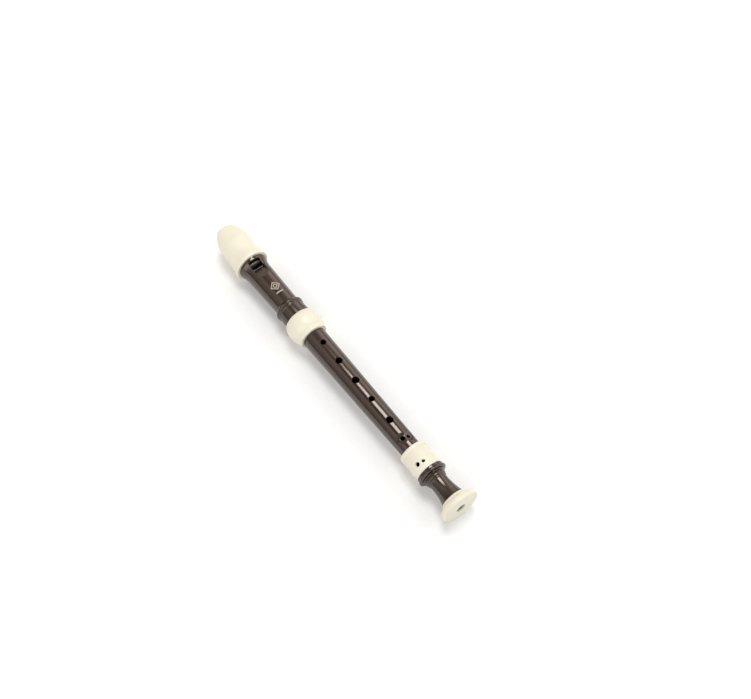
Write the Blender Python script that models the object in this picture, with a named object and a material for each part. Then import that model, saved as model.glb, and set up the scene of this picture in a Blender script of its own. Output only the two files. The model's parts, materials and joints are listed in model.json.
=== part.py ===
"""Soprano recorder in three joints, lying with its finger holes up.

+X runs from the beak to the bell, +Z is up, and the origin is below the middle of its length.
The axis is level, and so high that the bell rests on z = 0 with one of its flats.
Sizes are in millimetres, and add_mesh turns them into metres. A station is a distance
along the axis from the tip of the beak, and an outline is a list of (station, radius).
An angle around the axis counts from +Y towards +Z, so 90 degrees is the top.
"""
import math

import bmesh
import bpy

MM = 0.001
SEGMENTS = 40                 # sides of every turned piece
FIT_GAP = 0.3                 # air between pieces that touch

# Driving dimensions
TIP = 4.0                     # stations are along the axis, in millimetres
BELL_END = 330.0
BELL_RADIUS = 16.65
AXIS_HEIGHT = BELL_RADIUS * math.cos(math.pi / SEGMENTS)
CAP_END = 47.3                # ivory beak cap meets the dark flange
WINDOW_START = 49.6
WINDOW_END = 57.0             # sharp edge of the labium
WINDOW_HALF_WIDTH = 5.4
RING_START = 116.2            # ivory head ring
RING_END = 137.4
FOOT_START = 269.0            # ivory foot sleeve
SLEEVE_END = 291.2
BELL_START = 320.3            # ivory bell ring

# Beak and windway
SCOOP_RADIUS = 38.5           # concave underside of the beak
SCOOP_CENTRE = (1.5, -37.0)   # station, height
TIP_ROUNDING = 0.8
CAP_WALL = 1.9
SPIGOT_START = 33.3           # the head's spigot inside the cap
SPIGOT_RADIUS = 11.7
BLOCK_RADIUS = 8.1
BLOCK_START = 4.8
BLOCK_END = 50.2
TONGUE_END = 14.0             # the block is narrow up to here
TONGUE_HALF_WIDTH = 4.1
WINDWAY_FLOOR = 7.1
KEY_HALF_WIDTH = 1.3          # pointer on the cap that lines it up with the window
KEY_LENGTH = 1.4

# Bores, sockets and tenons
HEAD_BORE = 6.9
SOCKET_RADIUS = 9.1
SOCKET_FLOOR = 113.2
UPPER_TENON_RADIUS = SOCKET_RADIUS - FIT_GAP
MIDDLE_BORE_TOP = 6.2
MIDDLE_BORE_END = 4.9
FOOT_SOCKET_RADIUS = 7.8
FOOT_SOCKET_FLOOR = 281.2
LOWER_TENON_RADIUS = FOOT_SOCKET_RADIUS - FIT_GAP
FOOT_BORE_TOP = 5.0
BELL_BORE = 4.25

# Finger holes: station, radius, angle around the axis
FINGER_HOLES = (
    (151.0, 2.45, 90.0),
    (172.6, 2.95, 90.0),
    (195.2, 3.1, 90.0),
    (216.6, 2.5, 90.0),
    (240.0, 3.0, 90.0),
)
THUMB_HOLE = (146.5, 2.6, 270.0)
DOUBLE_HOLE_SIX = ((258.7, 1.9, 102.5), (259.9, 1.5, 66.0))
FOOT_TURN = 23.8              # the foot is turned this far towards the player's little finger
DOUBLE_HOLE_SEVEN = (
    (284.0, 1.9, 102.8 + FOOT_TURN),
    (284.9, 1.4, 75.5 + FOOT_TURN),
)
DISH_RADIUS = 3.5             # each hole of a pair sits in a shallow dish
DISH_DEPTH = 0.9

DARK = (0.030, 0.019, 0.014)
IVORY = (0.80, 0.72, 0.55)


def clear_scene():
    for item in list(bpy.data.objects):
        bpy.data.objects.remove(item, do_unlink=True)


def plastic(name, colour, roughness):
    material = bpy.data.materials.new(name)
    material.use_nodes = True
    shader = material.node_tree.nodes["Principled BSDF"]
    shader.inputs["Base Color"].default_value = (*colour, 1.0)
    shader.inputs["Roughness"].default_value = roughness
    shader.inputs["Metallic"].default_value = 0.0
    return material


def dark_plastic(name):
    return plastic(name + "_dark", DARK, 0.22)


def ivory_plastic(name):
    return plastic(name + "_ivory", IVORY, 0.35)


# ---- outlines -------------------------------------------------------------------------

def arc(station, radius, half_length, height, start, end, steps):
    """Points of an elliptical arc; 180 degrees is its left end and 0 its right end."""
    points = []
    for step in range(steps + 1):
        angle = math.radians(start + (end - start) * step / steps)
        points.append((station + half_length * math.cos(angle), radius + height * math.sin(angle)))
    return points


def cove(start, end, steps):
    """Hollow curve that leaves start steeply and runs out flat at end."""
    points = []
    for step in range(steps + 1):
        t = step / steps
        rise = (start[1] - end[1]) * (1.0 - t) ** 2
        points.append((start[0] + (end[0] - start[0]) * t, end[1] + rise))
    return points


def mirrored_cove(start, end, steps):
    """Hollow curve that starts flat and ends steeply."""
    return list(reversed(cove(end, start, steps)))


def through(keys, x):
    """Smooth curve through the key points (x, value), with the slopes of their neighbours."""
    last = len(keys) - 1
    if x <= keys[0][0]:
        return keys[0][1]
    if x >= keys[last][0]:
        return keys[last][1]
    i = max(k for k in range(last) if keys[k][0] <= x)

    def slope(k):
        low, high = keys[max(k - 1, 0)], keys[min(k + 1, last)]
        return (high[1] - low[1]) / (high[0] - low[0])

    width = keys[i + 1][0] - keys[i][0]
    t = (x - keys[i][0]) / width
    return (keys[i][1] * (1 + 2 * t) * (1 - t) ** 2
            + slope(i) * width * t * (1 - t) ** 2
            + keys[i + 1][1] * t * t * (3 - 2 * t)
            + slope(i + 1) * width * t * t * (t - 1))


# ---- meshes ---------------------------------------------------------------------------

def to_x(station):
    return station - (TIP + BELL_END) / 2


def around(angle_degrees, radius):
    angle = math.radians(angle_degrees)
    return radius * math.cos(angle), radius * math.sin(angle)


def add_mesh(name, points, faces, material=None):
    """A closed mesh, given in millimetres from the recorder's axis."""
    mesh = bpy.data.meshes.new(name)
    mesh.from_pydata([(x * MM, y * MM, z * MM) for x, y, z in points], [], faces)
    shape = bmesh.new()
    shape.from_mesh(mesh)
    bmesh.ops.recalc_face_normals(shape, faces=shape.faces)
    shape.to_mesh(mesh)
    shape.free()
    mesh.shade_smooth()
    mesh.set_sharp_from_angle(angle=math.radians(30))
    thing = bpy.data.objects.new(name, mesh)
    bpy.context.scene.collection.objects.link(thing)
    thing.location = (0.0, 0.0, AXIS_HEIGHT * MM)
    if material is not None:
        mesh.materials.append(material)
    return thing


def loft(name, rings, material=None, closed=False):
    """Joins rings of equal length; closed joins the last ring to the first instead of capping."""
    count = len(rings[0])
    points = [point for ring in rings for point in ring]
    faces = []
    for k in range(len(rings) if closed else len(rings) - 1):
        here, there = k * count, ((k + 1) % len(rings)) * count
        for i in range(count):
            j = (i + 1) % count
            faces.append((here + i, here + j, there + j, there + i))
    if not closed:
        faces.append(tuple(range(count)))
        faces.append(tuple(range(len(points) - count, len(points))))
    return add_mesh(name, points, faces, material)


def corner_angles(sides):
    """Corners of a polygon around the axis, with a flat at the top and at the bottom."""
    return [360.0 * (i + 0.5) / sides for i in range(sides)]


def ring_at(station, radius):
    ring = []
    for angle in corner_angles(SEGMENTS):
        y, z = around(angle, radius)
        ring.append((to_x(station), y, z))
    return ring


def turned(name, outline, material=None, closed=True):
    """Turns an outline around the axis; a closed outline makes a tube."""
    return loft(name, [ring_at(*point) for point in outline], material, closed)


def prism(name, side_view, half_width):
    """Extrudes a side view of (station, height) points across the axis."""
    sides = []
    for y in (-half_width, half_width):
        sides.append([(to_x(station), y, height) for station, height in side_view])
    return loft(name, sides)


def box(name, stations, sides, heights):
    rings = []
    for station in stations:
        x = to_x(station)
        rings.append([(x, sides[0], heights[0]), (x, sides[1], heights[0]),
                      (x, sides[1], heights[1]), (x, sides[0], heights[1])])
    return loft(name, rings)


def radial_cone(name, station, angle, stages, sides=20):
    """A round cutter pointing away from the axis; stages are (distance from the axis, radius)."""
    out = around(angle, 1.0)
    rings = []
    for distance, radius in stages:
        ring = []
        for corner in corner_angles(sides):
            along, across = around(corner, radius)
            y = out[0] * distance - out[1] * across
            z = out[1] * distance + out[0] * across
            ring.append((to_x(station) + along, y, z))
        rings.append(ring)
    return loft(name, rings)


def cut(thing, cutter, operation="DIFFERENCE"):
    cutter.hide_render = True
    cutter.display_type = "WIRE"
    boolean = thing.modifiers.new(cutter.name, "BOOLEAN")
    boolean.operation = operation
    boolean.object = cutter


# ---- beak cap and block ---------------------------------------------------------------

def scoop_height(station, offset=0.0):
    """Height of the beak's hollow underside, raised by offset."""
    reach = (SCOOP_RADIUS + offset) ** 2 - (station - SCOOP_CENTRE[0]) ** 2
    return SCOOP_CENTRE[1] + math.sqrt(max(reach, 0.0))


def cap_half_width(station):
    keys = ((TIP, 6.0), (5.2, 8.0), (7.5, 9.9), (11.5, 12.0), (16.8, 13.7), (23.0, 14.6),
            (30.0, 14.3), (36.0, 14.2), (41.0, 14.9), (45.0, 15.7), (47.3, 15.5))
    return through(keys, station)


def cap_top(station):
    keys = ((TIP, 9.9), (10.0, 11.2), (17.0, 12.9), (23.0, 14.3), (30.0, 14.3))
    return through(keys, station) if station < 30.0 else cap_half_width(station)


def cap_bottom(station):
    round_body = -cap_half_width(station)
    scoop = scoop_height(station)
    softness = 1.2
    return 0.5 * (round_body + scoop + math.hypot(round_body - scoop, softness))


def cap_section(station, inset=0.0):
    """Rounded section: an oval at the tip, a circle where the beak ends."""
    half_width = cap_half_width(station) - inset
    top = cap_top(station) - inset
    bottom = cap_bottom(station) + inset
    middle = through(((TIP, 5.1), (12.0, 3.6), (20.0, 1.8), (30.0, 0.0), (CAP_END, 0.0)), station)
    fullness = through(((TIP, 2.7), (16.0, 2.3), (31.0, 2.0), (CAP_END, 2.0)), station)
    ring = []
    for angle in corner_angles(SEGMENTS):
        c, s = around(angle, 1.0)
        y = half_width * math.copysign(abs(c) ** (2 / fullness), c)
        reach = (top - middle) if s > 0 else (middle - bottom)
        z = middle + reach * math.copysign(abs(s) ** (2 / fullness), s)
        ring.append((to_x(station), y, z))
    return ring


def block_space(name, clearance, material=None):
    """The block's own shape, or with clearance the hollow that the cap leaves for it."""
    radius = BLOCK_RADIUS + clearance
    start = BLOCK_START if clearance == 0 else TIP - 2.0
    end = BLOCK_END if clearance == 0 else SPIGOT_START + 1.0
    space = turned(name, ((start, radius), (end, radius)), material, closed=False)
    underside = scoop_cutter(name + "_scoop_cutter", CAP_WALL + FIT_GAP - clearance)
    cut(space, underside)
    inner = TONGUE_HALF_WIDTH + clearance
    for side, label in ((1, "far"), (-1, "near")):
        across = sorted((side * inner, side * 20.0))
        cheek = box(f"{name}_{label}_cutter", (start - 1.0, TONGUE_END - clearance), across, (-20.0, 20.0))
        cut(space, cheek)
    return space


def scoop_cutter(name, offset):
    """A roller below the beak, from in front of the tip to where it meets the round body."""
    radius = SCOOP_RADIUS + offset
    side_view = []
    steps = 24
    for step in range(steps + 1):
        angle = math.radians(96.0 - 66.0 * step / steps)
        side_view.append((SCOOP_CENTRE[0] + radius * math.cos(angle),
                          SCOOP_CENTRE[1] + radius * math.sin(angle)))
    side_view += [(36.0, -40.0), (-8.0, -40.0)]
    return prism(name, side_view, 20.0)


def key_prism(name, clearance):
    """Pointer on the cap's end face, or with clearance its notch in the flange."""
    start = CAP_END - 1.0
    tip = CAP_END + KEY_LENGTH + clearance
    half = KEY_HALF_WIDTH + clearance
    low, high = 12.4 - clearance, 14.1
    corners = ((start, -half), (CAP_END, -half), (tip, 0.0), (CAP_END, half), (start, half))
    rings = [[(to_x(station), y, z) for station, y in corners] for z in (low, high)]
    return loft(name, rings)


def make_beak_cap():
    rings = []
    for step in range(4):
        angle = math.radians(30.0 * step)
        station = TIP + TIP_ROUNDING * (1.0 - math.cos(angle))
        rings.append(cap_section(station, TIP_ROUNDING * (1.0 - math.sin(angle))))
    for station in (5.6, 6.6, 8.2, 11.0, 14.0, 17.5, 21.0, 24.5, 28.0, 31.0, 33.0, 36.0, 39.0, 42.0, 44.5):
        rings.append(cap_section(station))
    rings.append(cap_section(46.2))
    rings.append(cap_section(CAP_END, 0.6))
    counterbore = SPIGOT_RADIUS + FIT_GAP
    rings.append(ring_at(CAP_END, counterbore))
    rings.append(ring_at(SPIGOT_START - FIT_GAP, counterbore))
    cap = loft("beak_cap", rings, ivory_plastic("beak_cap"))
    cut(cap, block_space("cap_hollow", FIT_GAP))
    cut(cap, key_prism("cap_key", 0.0), "UNION")
    return cap


def make_windway_block():
    block = block_space("windway_block", 0.0, ivory_plastic("windway_block"))
    cut(block, box("windway_floor_cutter", (-3.0, 60.0), (-20.0, 20.0), (WINDWAY_FLOOR, 30.0)))
    cut(block, prism("exit_undercut_cutter", exit_side_view(), 20.0))
    return block


def exit_side_view():
    """The slope below the windway's exit, which leaves a thin edge on the block."""
    edge = WINDWAY_FLOOR - 0.6
    return [(BLOCK_END, edge), (BLOCK_END + 2.0, edge), (BLOCK_END + 2.0, -12.0), (45.5, -12.0)]


# ---- head -----------------------------------------------------------------------------

def make_head_body():
    outline = [(SPIGOT_START, SPIGOT_RADIUS), (CAP_END + FIT_GAP, SPIGOT_RADIUS),
               (CAP_END + FIT_GAP, 13.1), (48.0, 13.4)]
    outline += cove((49.8, 13.15), (58.0, 11.45), 5)
    outline += mirrored_cove((99.2, 10.65), (101.3, 12.2), 3)
    outline += arc(102.4, 12.2, 1.05, 0.65, 165, 10, 5)
    outline += [(103.65, 12.15)]
    outline += arc(104.75, 12.05, 0.95, 0.42, 165, 10, 4)
    outline += [(105.9, 11.9), (RING_START - FIT_GAP, 12.38)]
    outline += [(RING_START - FIT_GAP, 11.6), (135.2, 11.6)]
    outline += [(135.2, SOCKET_RADIUS), (SOCKET_FLOOR, SOCKET_RADIUS), (SOCKET_FLOOR, HEAD_BORE)]
    outline += [(WINDOW_END, HEAD_BORE), (WINDOW_END, BLOCK_RADIUS + FIT_GAP)]
    outline += [(SPIGOT_START, BLOCK_RADIUS + FIT_GAP)]
    head = turned("head_body", outline, dark_plastic("head_body"))
    cut(head, prism("window_cutter", window_side_view(), WINDOW_HALF_WIDTH))
    cut(head, prism("labium_cutter", labium_side_view(), WINDOW_HALF_WIDTH))
    cut(head, key_prism("flange_notch_cutter", FIT_GAP))
    return head


def window_side_view():
    """The window with its ramp, which climbs from the labium's edge to the outside."""
    edge_height, ramp_slope, ramp_end = 7.3, 0.33, 74.0
    return [(WINDOW_START, 2.0), (WINDOW_END, 2.0), (WINDOW_END, edge_height),
            (ramp_end, edge_height + ramp_slope * (ramp_end - WINDOW_END)), (WINDOW_START, 16.0)]


def labium_side_view():
    """The flat under the labium, which makes its edge thin all the way across."""
    return [(WINDOW_END - 0.5, 3.5), (72.0, 3.5), (WINDOW_END - 0.5, 6.85)]


def make_head_ring():
    outline = arc(124.3, 12.0, 8.47, 3.45, 163, 90, 5)
    outline += arc(124.3, 12.0, 9.4, 3.45, 78, 23, 5)
    outline += [(133.4, 13.05), (134.0, 13.05), (134.3, 13.28), (135.6, 13.18)]
    outline += [(135.9, 12.9), (136.4, 12.9), (136.7, 13.0), (RING_END, 12.8)]
    outline += [(RING_END, SOCKET_RADIUS), (135.5, SOCKET_RADIUS)]
    outline += [(135.5, 11.9), (RING_START, 11.9)]
    return turned("head_ring", outline, ivory_plastic("head_ring"))


# ---- middle ---------------------------------------------------------------------------

def drill(thing, hole, name, dished=False):
    station, radius, angle = hole
    bore = radial_cone(name + "_cutter", station, angle, ((2.0, radius), (18.0, radius)))
    cut(thing, bore)
    if dished:
        surface = 9.0
        stages = ((surface - DISH_DEPTH, radius + 0.2), (surface + 0.9, DISH_RADIUS + 1.4))
        cut(thing, radial_cone(name + "_dish_cutter", station, angle, stages))


def make_middle_body():
    shoulder = RING_END + FIT_GAP
    end_shoulder = FOOT_START - FIT_GAP
    tenon_start = SOCKET_FLOOR + 0.4
    tenon_end = FOOT_SOCKET_FLOOR - 0.4
    outline = [(tenon_start, UPPER_TENON_RADIUS), (shoulder, UPPER_TENON_RADIUS)]
    outline += [(shoulder, 10.2), (shoulder + 0.4, 10.5), (end_shoulder - 0.4, 8.75), (end_shoulder, 8.4)]
    outline += [(end_shoulder, LOWER_TENON_RADIUS), (tenon_end, LOWER_TENON_RADIUS)]
    outline += [(tenon_end, MIDDLE_BORE_END), (tenon_start, MIDDLE_BORE_TOP)]
    middle = turned("middle_body", outline, dark_plastic("middle_body"))
    for number, hole in enumerate(FINGER_HOLES, 1):
        drill(middle, hole, f"finger_hole_{number}")
    drill(middle, THUMB_HOLE, "thumb_hole")
    for label, hole in zip(("large", "small"), DOUBLE_HOLE_SIX):
        drill(middle, hole, "double_hole_six_" + label, dished=True)
    return middle


# ---- foot -----------------------------------------------------------------------------

def drill_little_finger_holes(thing):
    for label, hole in zip(("large", "small"), DOUBLE_HOLE_SEVEN):
        drill(thing, hole, f"{thing.name}_hole_seven_{label}")


def make_foot_sleeve():
    outline = arc(270.6, 11.35, 1.6, 0.6, 180, 20, 5)
    outline += [(272.5, 11.3), (273.1, 11.5), (SLEEVE_END, 12.0)]
    outline += [(SLEEVE_END, 9.5), (270.4, 9.5), (270.4, FOOT_SOCKET_RADIUS), (FOOT_START, FOOT_SOCKET_RADIUS)]
    sleeve = turned("foot_sleeve", outline, ivory_plastic("foot_sleeve"))
    drill_little_finger_holes(sleeve)
    return sleeve


def make_foot_body():
    tube_radius = 9.2
    rings_start = SLEEVE_END + FIT_GAP
    outline = [(270.7, tube_radius), (rings_start, tube_radius), (rings_start, 12.0), (293.2, 12.0)]
    outline += [(293.4, 11.75)]
    outline += arc(294.65, 11.8, 1.15, 1.05, 170, 0, 5)
    outline += [(296.0, 10.9), (296.7, 10.6), (297.3, 9.2), (297.8, 8.9)]
    outline += [(298.2, 9.2), (299.4, 9.2), (299.9, 8.5), (301.2, 8.6), (301.8, 7.8)]
    outline += mirrored_cove((304.0, 7.8), (320.0, 10.2), 6)
    outline += [(320.0, 7.4), (327.9, 7.4), (327.9, BELL_BORE), (FOOT_SOCKET_FLOOR, FOOT_BORE_TOP)]
    outline += [(FOOT_SOCKET_FLOOR, FOOT_SOCKET_RADIUS), (270.7, FOOT_SOCKET_RADIUS)]
    foot = turned("foot_body", outline, dark_plastic("foot_body"))
    drill_little_finger_holes(foot)
    return foot


def make_bell_ring():
    outline = [(BELL_START, 10.7), (320.7, 11.1), (322.2, 11.6), (322.5, 11.9)]
    outline += arc(328.2, 11.6, 5.8, BELL_RADIUS - 11.6, 170, 90, 6)
    outline += arc(328.2, BELL_RADIUS - 1.8, 1.8, 1.8, 67, 0, 3)
    outline += [(BELL_END, BELL_BORE), (328.2, BELL_BORE), (328.2, 7.7), (BELL_START, 7.7)]
    return turned("bell_ring", outline, ivory_plastic("bell_ring"))


def main():
    clear_scene()
    make_beak_cap()
    make_windway_block()
    make_head_body()
    make_head_ring()
    make_middle_body()
    make_foot_sleeve()
    make_foot_body()
    make_bell_ring()


main()
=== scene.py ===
"""Looks of the soprano recorder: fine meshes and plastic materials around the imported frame.

Each of the eight pieces stands for one CAD node and rides on that node's body; the printed
mark rides on the head. A station is a distance in millimetres along the axis, with the tip
of the beak at TIP. An outline is a list of (station, radius), and an angle around the axis
counts from +Y towards +Z (90 is the top).
"""
import math

import bmesh
import bpy
import numpy as np
from mathutils import Matrix, Vector
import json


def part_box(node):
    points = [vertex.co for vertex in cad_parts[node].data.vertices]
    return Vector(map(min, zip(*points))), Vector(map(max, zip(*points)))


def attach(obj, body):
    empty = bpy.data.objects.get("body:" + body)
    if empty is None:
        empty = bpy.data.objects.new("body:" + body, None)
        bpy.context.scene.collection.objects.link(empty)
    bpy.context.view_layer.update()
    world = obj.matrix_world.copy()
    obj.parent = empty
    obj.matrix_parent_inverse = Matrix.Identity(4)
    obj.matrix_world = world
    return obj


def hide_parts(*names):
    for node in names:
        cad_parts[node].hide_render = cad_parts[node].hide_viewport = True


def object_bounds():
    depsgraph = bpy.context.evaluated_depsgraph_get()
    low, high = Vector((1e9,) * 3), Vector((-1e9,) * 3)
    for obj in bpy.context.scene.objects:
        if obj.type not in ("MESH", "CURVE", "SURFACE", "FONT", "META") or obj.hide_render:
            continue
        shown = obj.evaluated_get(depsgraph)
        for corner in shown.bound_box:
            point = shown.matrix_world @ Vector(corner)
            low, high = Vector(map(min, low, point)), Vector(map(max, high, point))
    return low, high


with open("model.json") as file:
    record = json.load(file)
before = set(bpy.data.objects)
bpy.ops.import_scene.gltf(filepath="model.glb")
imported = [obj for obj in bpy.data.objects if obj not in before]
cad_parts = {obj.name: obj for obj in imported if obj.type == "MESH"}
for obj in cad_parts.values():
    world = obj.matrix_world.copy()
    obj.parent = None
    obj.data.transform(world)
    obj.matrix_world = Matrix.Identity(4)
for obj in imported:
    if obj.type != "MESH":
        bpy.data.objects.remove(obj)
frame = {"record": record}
cad_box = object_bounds()

MM = 0.001
SIDES = 160                   # corners of every turned piece
CAP_SIDES = 128
BLOCK_SIDES = 96
HOLE_SIDES = 48
SHARP_ANGLE = 32.0            # surfaces that meet at more than this, in degrees, keep an edge
OUTSIDE = 20.0                # distance from the axis, past every piece, at which cutters end
HOLE_CUTTER_END = -3.0        # depth below the surface, so this is outside the piece
FIT_GAP = 0.3                 # air between pieces that fit into each other
TIP = 4.0                     # station of the beak's tip

# Places taken from the frame
ORIGIN = cad_box[0].x - TIP * MM
BELL_END = (cad_box[1].x - ORIGIN) / MM
AXIS_HEIGHT = cad_box[1].z / 2
BELL_RADIUS = AXIS_HEIGHT / MM


def first_station(node):
    return (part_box(node)[0].x - ORIGIN) / MM


def last_station(node):
    return (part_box(node)[1].x - ORIGIN) / MM


# Head
KEY_LENGTH = 1.4
CAP_END = last_station("beak_cap") - KEY_LENGTH
SPIGOT_START = first_station("head_body")
WINDOW_START = CAP_END + 3.0
WINDOW_END = WINDOW_START + 6.7
WINDOW_HALF_WIDTH = 5.4
WINDOW_RIM = 0.22
LABIUM_HEIGHT = 7.3
RAMP_SLOPE = 0.33
RAMP_REACH = 15.0
SCOOP_RADIUS = 38.5
SCOOP_CENTRE = (1.5, -37.0)
CAP_WALL = 1.9
TIP_ROUNDING = 0.8
SPIGOT_RADIUS = 11.7
BLOCK_RADIUS = 8.1
BLOCK_START = first_station("windway_block")
BLOCK_END = last_station("windway_block")
TONGUE_END = 14.0
TONGUE_HALF_WIDTH = 4.1
WINDWAY_FLOOR = 7.1
HEAD_BORE = 6.9
SOCKET_RADIUS = 9.1
SOCKET_FLOOR = 113.2
RING_START = first_station("head_ring")
RING_END = last_station("head_ring")

# Middle and foot
MIDDLE_START = first_station("middle_body")
MIDDLE_END = last_station("middle_body")
FOOT_START = first_station("foot_sleeve")
SLEEVE_END = last_station("foot_sleeve")
FOOT_BODY_START = first_station("foot_body")
FOOT_BODY_END = last_station("foot_body")
BELL_START = first_station("bell_ring")
FOOT_SOCKET_RADIUS = 7.8
FOOT_SOCKET_FLOOR = MIDDLE_END + 0.4
BELL_BORE = 4.25
FINGER_HOLES = ((151.0, 2.45, 90.0), (172.6, 2.95, 90.0), (195.2, 3.1, 90.0),
                (216.6, 2.5, 90.0), (240.0, 3.0, 90.0), (146.5, 2.6, 270.0))
DOUBLE_HOLE_SIX = ((258.7, 1.9, 102.5), (259.9, 1.5, 66.0))
FOOT_TURN = 23.8
DOUBLE_HOLE_SEVEN = ((284.0, 1.9, 102.8 + FOOT_TURN), (284.9, 1.4, 75.5 + FOOT_TURN))
DISH_SIX = (4.8, 1.05)        # radius and depth of the hollow around each of the two holes


# ---- outlines -------------------------------------------------------------------------

def arc(station, radius, half_length, height, start, end, steps=16):
    """Points of an elliptical arc; 180 degrees is its left end and 0 its right end."""
    points = []
    for step in range(steps + 1):
        angle = math.radians(start + (end - start) * step / steps)
        points.append((station + half_length * math.cos(angle), radius + height * math.sin(angle)))
    return points


def cove(start, end, steps=12):
    """Hollow curve that leaves start steeply and runs out flat at end."""
    points = []
    for step in range(steps + 1):
        t = step / steps
        rise = (start[1] - end[1]) * (1.0 - t) ** 2
        points.append((start[0] + (end[0] - start[0]) * t, end[1] + rise))
    return points


def mirrored_cove(start, end, steps=12):
    """Hollow curve that leaves start flat and runs out steeply at end."""
    return list(reversed(cove(end, start, steps)))


def through(keys, x):
    """Smooth curve through the key points (x, value), with the slopes of their neighbours."""
    last = len(keys) - 1
    if x <= keys[0][0]:
        return keys[0][1]
    if x >= keys[last][0]:
        return keys[last][1]
    i = max(k for k in range(last) if keys[k][0] <= x)

    def slope(k):
        low, high = keys[max(k - 1, 0)], keys[min(k + 1, last)]
        return (high[1] - low[1]) / (high[0] - low[0])

    width = keys[i + 1][0] - keys[i][0]
    t = (x - keys[i][0]) / width
    return (keys[i][1] * (1 + 2 * t) * (1 - t) ** 2
            + slope(i) * width * t * (1 - t) ** 2
            + keys[i + 1][1] * t * t * (3 - 2 * t)
            + slope(i + 1) * width * t * t * (t - 1))


def rounded(outline, radius=0.25, steps=4):
    """Rounds every corner of a closed outline that turns by more than 25 degrees."""
    result = []
    count = len(outline)
    for i in range(count):
        before, here, after = (Vector(outline[k % count]) for k in (i - 1, i, i + 1))
        arm_in, arm_out = before - here, after - here
        turn = math.pi - arm_in.angle(arm_out, math.pi)
        reach = min(radius, 0.45 * arm_in.length, 0.45 * arm_out.length)
        if turn < math.radians(25.0) or reach < 1e-4:
            result.append(tuple(here))
            continue
        start = here + arm_in.normalized() * reach
        end = here + arm_out.normalized() * reach
        for step in range(steps + 1):
            t = step / steps
            result.append(tuple(start * (1 - t) ** 2 + here * (2 * t * (1 - t)) + end * t * t))
    return result


# ---- meshes ---------------------------------------------------------------------------

def to_x(station):
    return ORIGIN + station * MM


def around(angle_degrees, radius):
    angle = math.radians(angle_degrees)
    return radius * math.cos(angle), radius * math.sin(angle)


def place(station, y, z):
    """A point given in millimetres from the axis, in the frame's metres."""
    return (to_x(station), y * MM, AXIS_HEIGHT + z * MM)


def corner_angles(sides):
    return [360.0 * (i + 0.5) / sides for i in range(sides)]


def add_mesh(name, points, faces):
    mesh = bpy.data.meshes.new(name)
    mesh.from_pydata([place(*point) for point in points], [], faces)
    shape = bmesh.new()
    shape.from_mesh(mesh)
    bmesh.ops.recalc_face_normals(shape, faces=shape.faces)
    shape.to_mesh(mesh)
    shape.free()
    thing = bpy.data.objects.new(name, mesh)
    bpy.context.scene.collection.objects.link(thing)
    return thing


def loft(name, rings, closed=False):
    """Joins rings of equal length; closed joins the last ring to the first instead of capping."""
    count = len(rings[0])
    points = [point for ring in rings for point in ring]
    faces = []
    for k in range(len(rings) if closed else len(rings) - 1):
        here, there = k * count, ((k + 1) % len(rings)) * count
        for i in range(count):
            j = (i + 1) % count
            faces.append((here + i, here + j, there + j, there + i))
    if not closed:
        faces.append(tuple(range(count)))
        faces.append(tuple(range(len(points) - count, len(points))))
    return add_mesh(name, points, faces)


def ring_at(station, radius, sides=SIDES):
    return [(station, *around(angle, radius)) for angle in corner_angles(sides)]


def turned(name, outline, closed=True):
    return loft(name, [ring_at(*point) for point in outline], closed)


def carve(thing, cutters):
    """Cuts the cutters out of the piece for good and deletes them."""
    for cutter in cutters:
        boolean = thing.modifiers.new(cutter.name, "BOOLEAN")
        boolean.object = cutter
    bake_modifiers(thing)
    for cutter in cutters:
        bpy.data.objects.remove(cutter)
    return thing


def bake_modifiers(thing):
    seen = thing.evaluated_get(bpy.context.evaluated_depsgraph_get())
    mesh = bpy.data.meshes.new_from_object(seen)
    thing.modifiers.clear()
    thing.data = mesh


def smooth(thing, angle=SHARP_ANGLE):
    thing.data.shade_smooth()
    thing.data.set_sharp_from_angle(angle=math.radians(angle))


def blended_normals(normals, neighbours):
    """Mean of each side's normal and its neighbour's, or its own where the outline has an edge."""
    gentle = (normals * neighbours).sum(1) > math.cos(math.radians(SHARP_ANGLE))
    joint = np.where(gentle[:, None], normals + neighbours, normals)
    return joint / np.linalg.norm(joint, axis=1)[:, None]


def outline_frames(outline):
    """For each side of a closed outline: start, direction, length, own normal and end normals."""
    points = np.array(outline)
    vectors = np.roll(points, -1, axis=0) - points
    lengths = np.linalg.norm(vectors, axis=1)
    ways = vectors / lengths[:, None]
    normals = np.stack([-ways[:, 1], ways[:, 0]], axis=1)
    at_start = blended_normals(normals, np.roll(normals, 1, axis=0))
    at_end = blended_normals(normals, np.roll(normals, -1, axis=0))
    return points, ways, lengths, normals, at_start, at_end


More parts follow.
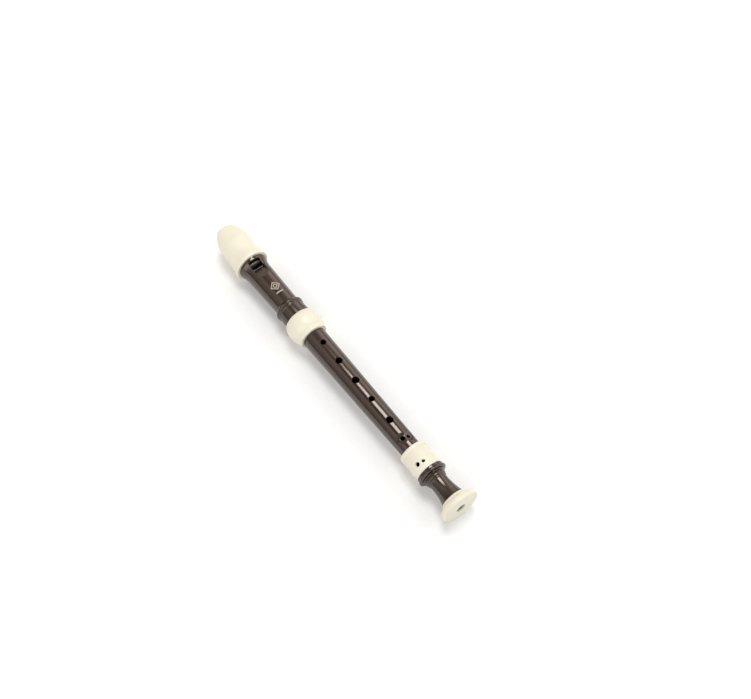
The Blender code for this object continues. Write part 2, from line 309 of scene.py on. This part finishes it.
def shine_like(thing, outline):
    """Gives the turned surface its exact normals, so that cuts leave no dents in the shine."""
    smooth(thing)
    farthest = 0.03               # millimetres; a face further from the outline is part of a cut
    least_agreement = 0.85        # cosine; so is a face that looks another way than the outline
    mesh = thing.data
    points, ways, lengths, normals, at_start, at_end = outline_frames(outline)
    corners = [0.0] * (3 * len(mesh.vertices))
    mesh.vertices.foreach_get("co", corners)
    spots = (np.array(corners).reshape(-1, 3) - (ORIGIN, 0.0, AXIS_HEIGHT)) / MM
    loop_normals = [(0.0, 0.0, 0.0)] * len(mesh.loops)
    for face in mesh.polygons:
        own = spots[list(face.vertices)]
        centre = own.mean(0)
        flat = np.array((centre[0], np.hypot(own[:, 1], own[:, 2]).mean()))
        offset = flat - points
        along = np.clip((offset * ways).sum(1), 0.0, lengths)
        gap = np.linalg.norm(points + ways * along[:, None] - flat, axis=1)
        k = int(gap.argmin())
        if gap[k] > farthest:
            continue
        out = np.array((centre[1], centre[2]))
        out /= max(np.linalg.norm(out), 1e-9)
        expected = Vector((normals[k][0], normals[k][1] * out[0], normals[k][1] * out[1]))
        if expected.dot(face.normal) < least_agreement:
            continue
        for loop, spot in zip(face.loop_indices, own):
            radius = math.hypot(spot[1], spot[2])
            t = float(np.dot(np.array((spot[0], radius)) - points[k], ways[k]) / lengths[k])
            t = min(max(t, 0.0), 1.0)
            n = at_start[k] * (1 - t) + at_end[k] * t
            normal = Vector((n[0], n[1] * spot[1] / radius, n[1] * spot[2] / radius))
            loop_normals[loop] = tuple(normal.normalized())
    mesh.normals_split_custom_set(loop_normals)


def stand_for(thing, node, material):
    """The finished piece replaces its CAD node and rides on that node's body."""
    body = next(b for b, nodes in frame["record"]["behaviour"]["bodies"].items() if node in nodes)
    thing.data.materials.clear()
    thing.data.materials.append(material)
    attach(thing, body)
    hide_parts(node)
    return thing


# ---- cutters --------------------------------------------------------------------------

def prism(name, side_view, half_width):
    """A side view of (station, height) points, stretched to half_width on both sides."""
    sides = []
    for y in (-half_width, half_width):
        sides.append([(station, y, height) for station, height in side_view])
    return loft(name, sides)


def box(name, stations, sides, heights):
    """A block between two stations, two distances sideways and two heights."""
    rings = []
    for station in stations:
        rings.append([(station, sides[0], heights[0]), (station, sides[1], heights[0]),
                      (station, sides[1], heights[1]), (station, sides[0], heights[1])])
    return loft(name, rings)


def hole_cutter(name, hole, surface_radius, stages):
    """A round cutter whose rings follow the turned surface; stages are (depth below it, radius)."""
    station, _, angle = hole
    inner_end = 2.0               # distance from the axis at which the cutter starts
    up = around(angle, 1.0)
    rings = []
    for depth, radius in stages:
        ring = []
        for corner in corner_angles(HOLE_SIDES):
            along, across = around(corner, radius)
            local = surface_radius(station + along)
            skin = math.sqrt(local * local - across * across)
            height = inner_end if depth is None else skin - depth
            ring.append((station + along, up[0] * height - up[1] * across,
                         up[1] * height + up[0] * across))
        rings.append(ring)
    return loft(name, rings)


def plain_stages(radius, rim):
    """A straight bore with a rounded rim."""
    stages = [(None, radius), (rim, radius)]
    for step in range(1, 4):
        angle = math.radians(25.0 * step)
        stages.append((rim * (1.0 - math.sin(angle)), radius + rim * (1.0 - math.cos(angle))))
    depth, width = stages[-1]
    return stages + [(depth - 0.3, width + 0.25), (HOLE_CUTTER_END, width + 0.3)]


def dished_stages(radius, dish):
    """A bore in the middle of a hollow like the inside of a shallow ball."""
    reach, depth = dish
    ball = (reach ** 2 + depth ** 2) / (2 * depth)
    stages = [(None, radius), (depth + 0.1, radius), (depth - 0.05, radius + 0.08)]
    steps = 10
    start = radius + 0.3
    for step in range(steps + 1):
        width = start + (reach + 0.5 - start) * step / steps
        stages.append((depth - (ball - math.sqrt(ball * ball - width * width)), width))
    return stages + [(HOLE_CUTTER_END, reach + 1.2)]


def drill(thing, holes, surface_radius, rim=0.3, dish=None):
    """Cuts the holes, each with a rounded rim or, where a dish is given, a hollow around it."""
    cutters = []
    for number, hole in enumerate(holes):
        stages = dished_stages(hole[1], dish) if dish else plain_stages(hole[1], rim)
        cutters.append(hole_cutter(f"hole_cutter_{number}", hole, surface_radius, stages))
    return carve(thing, cutters)


# ---- beak cap and block ---------------------------------------------------------------

def scoop_height(station):
    """Height of the round scoop under the beak, in which the lower lip lies."""
    reach = SCOOP_RADIUS ** 2 - (station - SCOOP_CENTRE[0]) ** 2
    return SCOOP_CENTRE[1] + math.sqrt(max(reach, 0.0))


def cap_half_width(station):
    keys = ((TIP, 6.0), (5.2, 8.0), (7.5, 9.9), (11.5, 12.0), (16.8, 13.7), (23.0, 14.6),
            (30.0, 14.3), (36.0, 14.2), (41.0, 14.9), (45.0, 15.7), (47.3, 15.5))
    return through(keys, station)


def cap_top(station):
    keys = ((TIP, 9.9), (10.0, 11.2), (17.0, 12.9), (23.0, 14.3), (30.0, 14.3))
    return through(keys, station) if station < 30.0 else cap_half_width(station)


def cap_bottom(station):
    round_body = -cap_half_width(station)
    scoop = scoop_height(station)
    softness = 1.2
    return 0.5 * (round_body + scoop + math.hypot(round_body - scoop, softness))


def cap_section(station, inset=0.0):
    """Rounded section: an oval at the tip, a circle where the beak ends."""
    half_width = cap_half_width(station) - inset
    top = cap_top(station) - inset
    bottom = cap_bottom(station) + inset
    middle = through(((TIP, 5.1), (12.0, 3.6), (20.0, 1.8), (30.0, 0.0), (CAP_END, 0.0)), station)
    fullness = through(((TIP, 2.7), (16.0, 2.3), (31.0, 2.0), (CAP_END, 2.0)), station)
    ring = []
    for angle in corner_angles(CAP_SIDES):
        c, s = around(angle, 1.0)
        y = half_width * math.copysign(abs(c) ** (2 / fullness), c)
        reach = (top - middle) if s > 0 else (middle - bottom)
        ring.append((station, y, middle + reach * math.copysign(abs(s) ** (2 / fullness), s)))
    return ring


def scoop_cutter(name, offset):
    radius = SCOOP_RADIUS + offset
    side_view = []
    steps = 60
    for step in range(steps + 1):
        angle = math.radians(96.0 - 66.0 * step / steps)
        side_view.append((SCOOP_CENTRE[0] + radius * math.cos(angle),
                          SCOOP_CENTRE[1] + radius * math.sin(angle)))
    side_view += [(36.0, -2 * OUTSIDE), (-8.0, -2 * OUTSIDE)]
    return prism(name, side_view, OUTSIDE)


def block_space(name, clearance):
    """The block's own shape, or with clearance the hollow that the cap leaves for it."""
    radius = BLOCK_RADIUS + clearance
    start = BLOCK_START if clearance == 0 else TIP - 2.0
    end = BLOCK_END if clearance == 0 else SPIGOT_START + 1.0
    space = loft(name, [ring_at(start, radius, BLOCK_SIDES), ring_at(end, radius, BLOCK_SIDES)])
    cutters = [scoop_cutter(name + "_scoop", CAP_WALL + FIT_GAP - clearance)]
    inner = TONGUE_HALF_WIDTH + clearance
    for side in (1, -1):
        across = sorted((side * inner, side * OUTSIDE))
        along = (start - 1.0, TONGUE_END - clearance)
        cutters.append(box(f"{name}_cheek", along, across, (-OUTSIDE, OUTSIDE)))
    return carve(space, cutters)


def key_prism(name, clearance):
    """Pointer on the cap's end face, or with clearance its notch in the flange."""
    start = CAP_END - 1.0
    tip = CAP_END + KEY_LENGTH + clearance
    half = 0.9 + clearance
    low, high = 12.4 - clearance, 14.1
    corners = ((start, -half), (CAP_END, -half), (tip, 0.0), (CAP_END, half), (start, half))
    return loft(name, [[(station, y, z) for station, y in corners] for z in (low, high)])


def make_beak_cap():
    """Ivory shell: rounded tip, beak, rounded lip, then the hollow for block and spigot."""
    rings = []
    tip_steps = 8
    for step in range(tip_steps + 1):
        angle = math.radians(90.0 * step / tip_steps)
        station = TIP + TIP_ROUNDING * (1.0 - math.cos(angle))
        rings.append(cap_section(station, TIP_ROUNDING * (1.0 - math.sin(angle))))
    body_steps = 72
    body_start = TIP + TIP_ROUNDING
    lip = 0.7
    for step in range(1, body_steps + 1):
        rings.append(cap_section(body_start + (CAP_END - lip - body_start) * step / body_steps))
    for step in range(1, 7):
        angle = math.radians(15.0 * step)
        inset = lip * (1.0 - math.cos(angle))
        rings.append(cap_section(CAP_END - lip * (1.0 - math.sin(angle)), inset))
    counterbore = SPIGOT_RADIUS + FIT_GAP
    rings.append(ring_at(CAP_END, counterbore, CAP_SIDES))
    rings.append(ring_at(SPIGOT_START - FIT_GAP, counterbore, CAP_SIDES))
    cap = loft("beak_cap_shell", rings)
    carve(cap, [block_space("cap_hollow", FIT_GAP)])
    pointer = key_prism("pointer", 0.0)
    join = cap.modifiers.new("pointer", "BOOLEAN")
    join.operation = "UNION"
    join.object = pointer
    bake_modifiers(cap)
    bpy.data.objects.remove(pointer)
    smooth(cap, 38.0)
    return cap


def make_block():
    """Ivory plug: flat on top under the windway, and sloped back below the windway's exit."""
    block = block_space("windway_plug", 0.0)
    edge = WINDWAY_FLOOR - 0.6
    below = -12.0
    beyond = BLOCK_END + 2.0
    slope = [(BLOCK_END, edge), (beyond, edge), (beyond, below), (43.5, below)]
    top = box("windway_floor", (-3.0, 60.0), (-OUTSIDE, OUTSIDE), (WINDWAY_FLOOR, 30.0))
    carve(block, [top, prism("exit_undercut", slope, OUTSIDE)])
    bevel = block.modifiers.new("edges", "BEVEL")
    bevel.width = 0.2 * MM
    bevel.segments = 3
    bevel.limit_method = "ANGLE"
    bevel.angle_limit = math.radians(40)
    bake_modifiers(block)
    smooth(block, 35.0)
    return block


# ---- head -----------------------------------------------------------------------------

def head_outline():
    """Spigot, flange, cove, barrel, bead, ring seat and, inside, the socket and the bore."""
    outline = [(SPIGOT_START, SPIGOT_RADIUS), (CAP_END + FIT_GAP, SPIGOT_RADIUS),
               (CAP_END + FIT_GAP, 13.35)]
    outline += cove((49.8, 13.15), (58.0, 11.45), 20)
    outline += mirrored_cove((99.2, 10.65), (101.3, 12.2), 10)
    outline += arc(102.4, 12.2, 1.05, 0.65, 165, 10, 14)
    outline += [(103.65, 12.15)]
    outline += arc(104.75, 12.05, 0.95, 0.42, 165, 10, 10)
    outline += [(105.9, 11.9), (RING_START - FIT_GAP, 12.38)]
    outline += [(RING_START - FIT_GAP, 11.6), (135.2, 11.6)]
    outline += [(135.2, SOCKET_RADIUS), (SOCKET_FLOOR, SOCKET_RADIUS), (SOCKET_FLOOR, HEAD_BORE)]
    outline += [(WINDOW_END, HEAD_BORE), (WINDOW_END, BLOCK_RADIUS + FIT_GAP)]
    outline += [(SPIGOT_START, BLOCK_RADIUS + FIT_GAP)]
    return outline


def radius_on(outline):
    """Returns the outside radius of an outline as a function of the station."""
    def radius(station):
        hits = []
        for (s0, r0), (s1, r1) in zip(outline, outline[1:]):
            if s0 <= station <= s1 and s1 > s0:
                hits.append(r0 + (r1 - r0) * (station - s0) / (s1 - s0))
        return max(hits)
    return radius


def window_cutter(surface_radius):
    """Window and ramp in one: a channel with a rounded rim, lofted along the axis."""
    columns = 14
    window_floor = 2.0            # height above the axis that the window is cut down to
    cutter_top = 18.0
    rows = []
    for share in (1.0, 0.55, 0.2, 0.0):
        rows.append((WINDOW_START - WINDOW_RIM * share, WINDOW_RIM * (1 - share) ** 2 - 0.02, None))
    for step in range(8):
        rows.append((WINDOW_START + (WINDOW_END - WINDOW_START) * step / 7, None, window_floor))
    for step in range(25):
        reach = RAMP_REACH * step / 24
        rows.append((WINDOW_END + reach, None, LABIUM_HEIGHT + RAMP_SLOPE * reach))
    rings = []
    for station, depth, floor in rows:
        surface = surface_radius(station)

        def skin(y, below):
            return math.sqrt(surface * surface - y * y) - below

        ring = []
        for j in range(columns + 1):
            y = WINDOW_HALF_WIDTH * (2.0 * j / columns - 1.0)
            ring.append((station, y, floor if depth is None else skin(y, depth)))
        walls = ((0.0, WINDOW_RIM), (0.25, 0.08), (0.8, 0.0), (1.0, -0.05))
        right = []
        for share, below in walls:
            y = WINDOW_HALF_WIDTH + WINDOW_RIM * share
            lowest = floor if depth is None else skin(WINDOW_HALF_WIDTH, depth)
            right.append((y, max(skin(y, below), lowest + 0.001 * (share + 1))))
        right.append((WINDOW_HALF_WIDTH + WINDOW_RIM * 1.3, cutter_top))
        ring += [(station, y, z) for y, z in right]
        ring += [(station, -y, z) for y, z in reversed(right)]
        rings.append(ring)
    return loft("window_cutter", rings)


def make_head():
    """Dark head with its window, the flat under the labium and the notch for the pointer."""
    outline = rounded(head_outline(), 0.3)
    head = turned("head_shell", outline)
    surface = radius_on(outline)
    flat_start = WINDOW_END - 0.5
    side_view = [(flat_start, 3.5), (72.0, 3.5), (flat_start, 6.85)]
    cutters = [window_cutter(surface), prism("labium_flat", side_view, WINDOW_HALF_WIDTH),
               key_prism("flange_notch", 0.15)]
    carve(head, cutters)
    shine_like(head, outline)
    return head


def make_head_ring():
    outline = arc(124.3, 12.0, 8.47, 3.45, 163, 90, 20)
    outline += arc(124.3, 12.0, 9.4, 3.45, 87, 23, 20)
    outline += [(133.35, 13.02), (133.95, 13.02)]
    outline += arc(134.95, 12.95, 0.8, 0.36, 160, 20, 8)
    outline += [(135.95, 12.85), (136.4, 12.87), (136.75, 13.0), (RING_END, 12.8)]
    outline += [(RING_END, SOCKET_RADIUS), (135.5, SOCKET_RADIUS)]
    outline += [(135.5, 11.9), (RING_START, 11.9)]
    outline = rounded(outline, 0.3)
    ring = turned("head_ring_shell", outline)
    shine_like(ring, outline)
    return ring


# ---- middle ---------------------------------------------------------------------------

def make_middle():
    joint_line = 0.08
    shoulder = RING_END + joint_line
    end_shoulder = FOOT_START - joint_line
    upper_tenon = SOCKET_RADIUS - FIT_GAP
    lower_tenon = FOOT_SOCKET_RADIUS - FIT_GAP
    outline = [(MIDDLE_START, upper_tenon)]
    for groove in (119.0, 124.0, 129.0):
        outline += arc(groove, upper_tenon, 0.8, -0.35, 180, 0, 8)
    outline += [(shoulder, upper_tenon), (shoulder, 10.5), (end_shoulder, 8.75)]
    outline += [(end_shoulder, lower_tenon)]
    for groove in (272.5, 276.5):
        outline += arc(groove, lower_tenon, 0.7, -0.3, 180, 0, 8)
    outline += [(MIDDLE_END, lower_tenon), (MIDDLE_END, 4.9), (MIDDLE_START, 6.2)]
    outline = rounded(outline, 0.4)
    middle = turned("middle_shell", outline)
    surface = radius_on(outline)
    drill(middle, FINGER_HOLES, surface)
    drill(middle, DOUBLE_HOLE_SIX, surface, dish=DISH_SIX)
    shine_like(middle, outline)
    return middle


# ---- foot -----------------------------------------------------------------------------

def make_foot_sleeve():
    outline = arc(270.7, 11.3, 1.7, 0.62, 180, 12, 16)
    outline += [(272.45, 11.22), (272.9, 11.42), (SLEEVE_END, 12.0)]
    outline += [(SLEEVE_END, 9.5), (270.4, 9.5)]
    outline += [(270.4, FOOT_SOCKET_RADIUS), (FOOT_START, FOOT_SOCKET_RADIUS)]
    outline = rounded(outline, 0.2)
    sleeve = turned("foot_sleeve_shell", outline)
    drill(sleeve, DOUBLE_HOLE_SEVEN, radius_on(outline), rim=0.4)
    shine_like(sleeve, outline)
    return sleeve


def make_foot_body():
    tube_radius = 9.2
    rings_start = SLEEVE_END + FIT_GAP
    outline = [(FOOT_BODY_START, tube_radius), (rings_start, tube_radius), (rings_start, 12.0)]
    outline += [(293.2, 12.0), (293.45, 11.7)]
    outline += arc(294.65, 11.8, 1.15, 1.05, 172, 0, 18)
    outline += [(295.95, 11.1)]
    outline += arc(296.5, 10.3, 0.55, 0.5, 150, 10, 8)
    outline += [(297.3, 9.2), (297.8, 8.85)]
    outline += arc(298.8, 8.85, 0.85, 0.38, 170, 10, 12)
    outline += [(299.95, 8.45)]
    outline += arc(300.75, 8.4, 0.65, 0.28, 170, 10, 10)
    outline += [(301.7, 7.85)]
    outline += mirrored_cove((304.0, 7.8), (320.0, 10.2), 30)
    outline += [(320.0, 7.4), (FOOT_BODY_END, 7.4), (FOOT_BODY_END, BELL_BORE)]
    outline += [(FOOT_SOCKET_FLOOR, 5.0), (FOOT_SOCKET_FLOOR, FOOT_SOCKET_RADIUS)]
    outline += [(FOOT_BODY_START, FOOT_SOCKET_RADIUS)]
    outline = rounded(outline, 0.15)
    foot = turned("foot_shell", outline)
    drill(foot, DOUBLE_HOLE_SEVEN, radius_on(outline), rim=0.2)
    shine_like(foot, outline)
    return foot


def make_bell_ring():
    rim = 1.8
    outline = [(BELL_START, 10.75), (320.8, 11.15), (322.15, 11.55), (322.45, 11.45), (322.7, 12.2)]
    outline += arc(328.2, 12.0, 5.4, BELL_RADIUS - 12.0, 165, 90, 24)
    outline += arc(328.2, BELL_RADIUS - rim, BELL_END - 328.2, rim, 80, 0, 12)
    outline += [(BELL_END, BELL_BORE), (328.2, BELL_BORE), (328.2, 7.7), (BELL_START, 7.7)]
    outline = rounded(outline, 0.25)
    bell = turned("bell_shell", outline)
    shine_like(bell, outline)
    return bell


# ---- printed mark ---------------------------------------------------------------------

def printed_stroke(name, path, width, material):
    """A thin printed line along a path of (station, y), laid on the head's surface."""
    surface = radius_on(head_outline())
    closed = path[0] == path[-1]
    sunk, raised = -0.05, 0.03
    profile = ((-1, sunk), (1, sunk), (1, raised), (0.33, raised), (-0.33, raised), (-1, raised))
    path = [Vector(spot) for spot in path]
    fine = []
    for start, end in zip(path, path[1:]):
        steps = max(int((end - start).length / 0.3), 1)
        fine += [start.lerp(end, step / steps) for step in range(steps)]
    if not closed:
        fine.append(path[-1])
    count = len(fine)
    rings = []
    for i, spot in enumerate(fine):
        after = fine[(i + 1) % count] if closed or i < count - 1 else spot
        before = fine[i - 1] if closed or i > 0 else spot
        across = (after - before).normalized().orthogonal() * (width / 2)
        ring = []
        for side, lift in profile:
            station, y = spot + across * side
            radius = surface(station) + lift
            ring.append((station, y, math.sqrt(radius * radius - y * y)))
        rings.append(ring)
    stroke = loft(name, rings, closed)
    stroke.data.materials.append(material)
    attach(stroke, "head_joint")


def make_printed_mark(material):
    """Two nested lozenges with a bar beside them."""
    centre = 82.3
    for number, reach in enumerate((4.2, 2.0)):
        corners = [(centre - reach, 0.0), (centre, reach), (centre + reach, 0.0), (centre, -reach)]
        printed_stroke(f"printed_lozenge_{number}", corners + corners[:1], 0.7, material)
    printed_stroke("printed_bar", [(89.2, -3.3), (89.2, 3.3)], 1.1, material)


# ---- materials ------------------------------------------------------------------------

def new_material(name):
    material = bpy.data.materials.new(name)
    material.use_nodes = True
    return material, material.node_tree, material.node_tree.nodes["Principled BSDF"]


def noise(tree, scale, detail=3.0, roughness=0.5):
    place_in = tree.nodes.new("ShaderNodeTexCoord")
    texture = tree.nodes.new("ShaderNodeTexNoise")
    texture.inputs["Scale"].default_value = scale
    texture.inputs["Detail"].default_value = detail
    texture.inputs["Roughness"].default_value = roughness
    tree.links.new(place_in.outputs["Object"], texture.inputs["Vector"])
    return texture


def map_value(tree, source, low, high, low_in=0.3, high_in=0.7):
    ranged = tree.nodes.new("ShaderNodeMapRange")
    ranged.inputs["From Min"].default_value = low_in
    ranged.inputs["From Max"].default_value = high_in
    ranged.inputs["To Min"].default_value = low
    ranged.inputs["To Max"].default_value = high
    tree.links.new(source.outputs["Fac"], ranged.inputs["Value"])
    return ranged


def blend_colours(tree, source, first, second):
    ramp = tree.nodes.new("ShaderNodeValToRGB")
    ramp.color_ramp.elements[0].position = 0.3
    ramp.color_ramp.elements[0].color = (*first, 1.0)
    ramp.color_ramp.elements[1].position = 0.7
    ramp.color_ramp.elements[1].color = (*second, 1.0)
    tree.links.new(source.outputs["Fac"], ramp.inputs["Fac"])
    return ramp


def add_bump(tree, shader, layers):
    """Stacks bumps; a layer is (noise texture, bump distance, strength)."""
    normal = None
    for texture, height, strength in layers:
        bump = tree.nodes.new("ShaderNodeBump")
        bump.inputs["Distance"].default_value = height
        bump.inputs["Strength"].default_value = strength
        tree.links.new(texture.outputs["Fac"], bump.inputs["Height"])
        if normal is not None:
            tree.links.new(normal.outputs["Normal"], bump.inputs["Normal"])
        normal = bump
    tree.links.new(normal.outputs["Normal"], shader.inputs["Normal"])


def dark_plastic():
    """Glossy dark brown moulding: faint flow marks in its colour, smudges and a fine skin."""
    material, tree, shader = new_material("dark_brown_abs")
    flow = noise(tree, 38.0, 4.0, 0.55)
    smudge = noise(tree, 120.0, 5.0, 0.6)
    skin = noise(tree, 2600.0, 2.0)
    colour = blend_colours(tree, flow, (0.0145, 0.0065, 0.0034), (0.018, 0.0086, 0.0046))
    tree.links.new(colour.outputs["Color"], shader.inputs["Base Color"])
    tree.links.new(map_value(tree, smudge, 0.155, 0.19).outputs["Result"], shader.inputs["Roughness"])
    add_bump(tree, shader, [(skin, 0.000002, 0.1)])
    shader.inputs["IOR"].default_value = 1.5
    shader.inputs["Specular IOR Level"].default_value = 1.0
    shader.inputs["Specular Tint"].default_value = (1.0, 0.88, 0.80, 1.0)
    return material


def ivory_plastic():
    """Satin ivory moulding, a little translucent, warmer in places."""
    material, tree, shader = new_material("ivory_abs")
    cloud = noise(tree, 55.0, 4.0, 0.55)
    smudge = noise(tree, 150.0, 5.0, 0.6)
    skin = noise(tree, 2200.0, 2.0)
    colour = blend_colours(tree, cloud, (0.715, 0.675, 0.55), (0.74, 0.70, 0.575))
    tree.links.new(colour.outputs["Color"], shader.inputs["Base Color"])
    tree.links.new(map_value(tree, smudge, 0.30, 0.42).outputs["Result"], shader.inputs["Roughness"])
    add_bump(tree, shader, [(skin, 0.000008, 0.15)])
    shader.inputs["Subsurface Weight"].default_value = 0.12
    shader.inputs["Subsurface Radius"].default_value = (1.0, 0.6, 0.35)
    shader.inputs["Subsurface Scale"].default_value = 0.0015
    return material


def printed_ink():
    """Pad-printed cream ink, slightly worn."""
    material, tree, shader = new_material("cream_ink")
    wear = noise(tree, 900.0, 5.0, 0.65)
    colour = blend_colours(tree, wear, (0.36, 0.31, 0.24), (0.50, 0.45, 0.36))
    tree.links.new(colour.outputs["Color"], shader.inputs["Base Color"])
    tree.links.new(map_value(tree, wear, 0.35, 0.5).outputs["Result"], shader.inputs["Roughness"])
    return material


def paper_white():
    """Matt white paper with a faint grain."""
    material, tree, shader = new_material("floor_paper")
    grain = noise(tree, 300.0, 4.0)
    colour = blend_colours(tree, grain, (0.85, 0.85, 0.847), (0.87, 0.87, 0.867))
    tree.links.new(colour.outputs["Color"], shader.inputs["Base Color"])
    shader.inputs["Roughness"].default_value = 0.7
    return material


# ---- floor, light and camera ----------------------------------------------------------

def make_floor():
    reach = 2.0
    corners = [(-reach, -reach, 0), (reach, -reach, 0), (reach, reach, 0), (-reach, reach, 0)]
    mesh = bpy.data.meshes.new("floor")
    mesh.from_pydata(corners, [], [(0, 1, 2, 3)])
    floor = bpy.data.objects.new("floor", mesh)
    bpy.context.scene.collection.objects.link(floor)
    mesh.materials.append(paper_white())


def brightness_by_height(tree, height, tint, stops):
    """Curve of the surround's brightness over the sine of its elevation, -1 to 1."""
    ramp = tree.nodes.new("ShaderNodeValToRGB")
    elements = ramp.color_ramp.elements
    for number, (level, value) in enumerate(stops):
        spot = elements[number] if number < 2 else elements.new(level)
        spot.position = (level + 1.0) / 2.0
        spot.color = (value * tint[0], value * tint[1], value * tint[2], 1.0)
    tree.links.new(height, ramp.inputs["Fac"])
    return ramp


def make_world():
    """A studio surround, by direction: +Y is behind the recorder and +X beyond its bell.

    Towards the beak there is a bright warm wall behind and a dimmer one before the recorder.
    Towards the bell there is a plain wall on each side. Both fade towards the two ends.
    """
    world = bpy.data.worlds.new("studio")
    bpy.context.scene.world = world
    world.use_nodes = True
    tree = world.node_tree
    background = tree.nodes["Background"]
    place_in = tree.nodes.new("ShaderNodeTexCoord")
    split = tree.nodes.new("ShaderNodeSeparateXYZ")
    tree.links.new(place_in.outputs["Generated"], split.inputs["Vector"])

    def ranged(socket, low_in, high_in, low, high):
        node = tree.nodes.new("ShaderNodeMapRange")
        node.interpolation_type = "SMOOTHSTEP"
        node.inputs["From Min"].default_value = low_in
        node.inputs["From Max"].default_value = high_in
        node.inputs["To Min"].default_value = low
        node.inputs["To Max"].default_value = high
        tree.links.new(socket, node.inputs["Value"])
        return node.outputs["Result"]

    straight = tree.nodes.new("ShaderNodeMapRange")
    straight.inputs["From Min"].default_value = -1.0
    tree.links.new(split.outputs["Z"], straight.inputs["Value"])
    height = straight.outputs["Result"]
    warm, plain = (1.0, 0.92, 0.85), (1.0, 1.0, 1.0)
    behind = brightness_by_height(tree, height, warm, (
        (-1.0, 0.12), (-0.12, 0.12), (0.0, 0.18), (0.13, 0.38), (0.26, 0.74), (0.39, 0.98),
        (0.5, 1.0), (0.6, 0.88), (0.69, 0.62), (0.77, 0.3), (0.83, 0.1), (0.9, 0.05), (1.0, 0.05)))
    before = brightness_by_height(tree, height, warm, (
        (-1.0, 0.05), (-0.07, 0.05), (0.06, 0.06), (0.18, 0.26), (0.3, 0.33), (0.42, 0.34),
        (0.53, 0.36), (0.63, 0.44), (0.71, 0.52), (0.79, 0.53), (0.84, 0.28), (0.9, 0.06), (1.0, 0.05)))
    right = brightness_by_height(tree, height, plain, (
        (-1.0, 0.3), (0.0, 0.7), (0.6, 1.0), (0.8, 0.85), (0.92, 0.35), (1.0, 0.1)))
    left = brightness_by_height(tree, height, plain, (
        (-1.0, 0.3), (0.0, 0.6), (0.2, 1.15), (0.75, 1.2), (0.9, 0.5), (1.0, 0.1)))

    def mixed(factor, first, second):
        node = tree.nodes.new("ShaderNodeMix")
        node.data_type = "RGBA"
        tree.links.new(factor, node.inputs["Factor"])
        tree.links.new(first, node.inputs["A"])
        tree.links.new(second, node.inputs["B"])
        return node.outputs["Result"]

    across = ranged(split.outputs["Y"], -0.3, 0.3, 0.0, 1.0)
    walls = mixed(across, before.outputs["Color"], behind.outputs["Color"])
    fill = mixed(across, left.outputs["Color"], right.outputs["Color"])
    whole = mixed(ranged(split.outputs["X"], -0.25, 0.1, 0.0, 1.0), walls, fill)
    tree.links.new(whole, background.inputs["Color"])
    strength = tree.nodes.new("ShaderNodeMath")
    strength.operation = "MULTIPLY"
    tree.links.new(ranged(split.outputs["X"], -0.75, -0.5, 0.9, 1.85), strength.inputs[0])
    tree.links.new(ranged(split.outputs["X"], 0.3, 0.75, 1.0, 0.4), strength.inputs[1])
    tree.links.new(strength.outputs["Value"], background.inputs["Strength"])


def make_round_light():
    """A disc of soft light almost overhead, a little towards the beak."""
    direction = (-0.20, 0.17, 0.965)
    distance = 3.0
    width = 0.48                  # as seen from the recorder, in radians
    radiance = 8.3
    data = bpy.data.lights.new("round_light", "AREA")
    data.shape = "DISK"
    data.size = width * distance
    area = data.size * data.size * (math.pi / 4)
    data.energy = radiance * area * math.pi
    light = bpy.data.objects.new("round_light", data)
    bpy.context.scene.collection.objects.link(light)
    way = Vector(direction).normalized()
    side = Vector((1, 0, 0)) - way * way.x
    side.normalize()
    up = way.cross(side)
    facing = Matrix((side, up, way)).transposed().to_4x4()
    light.matrix_world = Matrix.Translation(way * distance) @ facing


def make_camera():
    """Looks down on the recorder from its bell end, as the reference view does."""
    data = bpy.data.cameras.new("view")
    data.sensor_width = 36.0
    data.lens = 57.52
    data.clip_start = 0.05
    camera = bpy.data.objects.new("view", data)
    bpy.context.scene.collection.objects.link(camera)
    target = Vector((0.00407, 0.03862, 0.0016))
    heading, pitch, distance = math.radians(52.595), math.radians(59.683), 1.00917
    level = math.cos(pitch)
    back = Vector((math.sin(heading) * level, -math.cos(heading) * level, math.sin(pitch)))
    camera.location = target + back * distance
    camera.rotation_mode = "QUATERNION"
    camera.rotation_quaternion = (-back).to_track_quat("-Z", "Y")
    bpy.context.scene.camera = camera


def main():
    make_camera()
    make_floor()
    make_world()
    make_round_light()
    bpy.context.scene.view_settings.view_transform = "Standard"
    dark = dark_plastic()
    ivory = ivory_plastic()
    stand_for(make_beak_cap(), "beak_cap", ivory)
    stand_for(make_block(), "windway_block", ivory)
    stand_for(make_head(), "head_body", dark)
    stand_for(make_head_ring(), "head_ring", ivory)
    stand_for(make_middle(), "middle_body", dark)
    stand_for(make_foot_sleeve(), "foot_sleeve", ivory)
    stand_for(make_foot_body(), "foot_body", dark)
    stand_for(make_bell_ring(), "bell_ring", ivory)
    make_printed_mark(printed_ink())


main()
